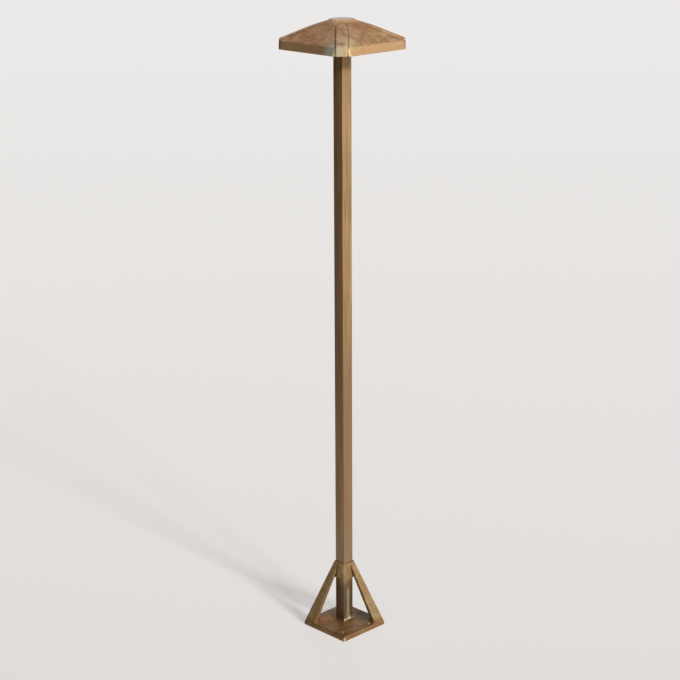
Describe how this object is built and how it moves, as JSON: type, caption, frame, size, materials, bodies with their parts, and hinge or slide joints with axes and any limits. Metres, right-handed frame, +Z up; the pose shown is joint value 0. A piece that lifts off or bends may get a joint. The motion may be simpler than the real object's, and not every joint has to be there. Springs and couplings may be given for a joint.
{
  "type": "path light",
  "caption": "Garden path light: pyramid hat with a flared skirt and raised hips on a square post, in a cast foot with corner legs; the lamp plugs in under the hat inside a frosted glass tube.",
  "frame": {"origin": "centre of the square foot, on the ground", "axes": "+Z up along the post; X and Y along the sides of the foot; the fixing holes lie on the diagonal through +X -Y and the legs on the diagonal through +X +Y"},
  "size_m": [0.145, 0.145, 0.9459],
  "materials": {
    "aged_brass_casting": "aged, satin",
    "aged_brass_tube": "aged, brushed along its length",
    "turned_brass": "turned",
    "dark_steel": "blackened",
    "plated_steel": "nickel plated",
    "black_rubber": "matt",
    "grey_silicone": "matt",
    "frosted_glass": "frosted",
    "white_ceramic": "unglazed",
    "white_plastic": "moulded",
    "light_chips": "phosphor coated",
    "clear_cover": "clear"
  },
  "bodies": {
    "stand": {"base_casting": "aged_brass_casting", "post_tube": "aged_brass_tube", "collar_set_screws": "dark_steel", "foot_plug": "turned_brass", "cable_nipple": "turned_brass", "nipple_washer": "turned_brass", "nipple_nut": "turned_brass", "cable_grommet": "black_rubber", "head_plate": "turned_brass", "head_spigot": "turned_brass", "head_screws": "dark_steel", "lamp_socket": "white_ceramic", "socket_contacts": "plated_steel", "socket_ring": "plated_steel", "ring_screws": "plated_steel", "lower_lens_seal": "grey_silicone"},
    "hat": {"hat_casting": "aged_brass_casting", "screw_pillars": "turned_brass", "lens_glass": "frosted_glass", "upper_lens_seal": "grey_silicone"},
    "lamp": {"lamp_base": "white_plastic", "lamp_pins": "plated_steel", "lamp_core": "white_plastic", "lamp_leds": "light_chips", "lamp_cover": "clear_cover"},
    "front_washer": {"front_screw_washer": "turned_brass"},
    "front_screw": {"front_thumb_screw": "turned_brass"},
    "rear_washer": {"rear_screw_washer": "turned_brass"},
    "rear_screw": {"rear_thumb_screw": "turned_brass"}
  },
  "joints": [
    {"name": "hat_lift", "type": "slide", "parent": "stand", "child": "hat", "axis": [0, 0, 1], "range_m": [0, 0.06]},
    {"name": "lamp_pull", "type": "slide", "parent": "stand", "child": "lamp", "axis": [0, 0, 1], "range_m": [0, 0.009]},
    {"name": "front_screw_travel", "type": "slide", "parent": "stand", "child": "front_washer", "axis": [0, 0, 1], "range_m": [-0.0105, 0]},
    {"name": "front_screw_turn", "type": "hinge", "parent": "front_washer", "child": "front_screw", "pos_m": [0.01697, -0.01697, 0.9], "axis": [0, 0, 1], "range_deg": [-5400, 0]},
    {"name": "rear_screw_travel", "type": "slide", "parent": "stand", "child": "rear_washer", "axis": [0, 0, 1], "range_m": [-0.0105, 0]},
    {"name": "rear_screw_turn", "type": "hinge", "parent": "rear_washer", "child": "rear_screw", "pos_m": [-0.01697, 0.01697, 0.9], "axis": [0, 0, 1], "range_deg": [-5400, 0]}
  ],
  "couplings": [
    {"joint": "front_screw_turn", "follows": "front_screw_travel", "rad_per_m": 8975.9},
    {"joint": "rear_screw_turn", "follows": "rear_screw_travel", "rad_per_m": 8975.9}
  ]
}
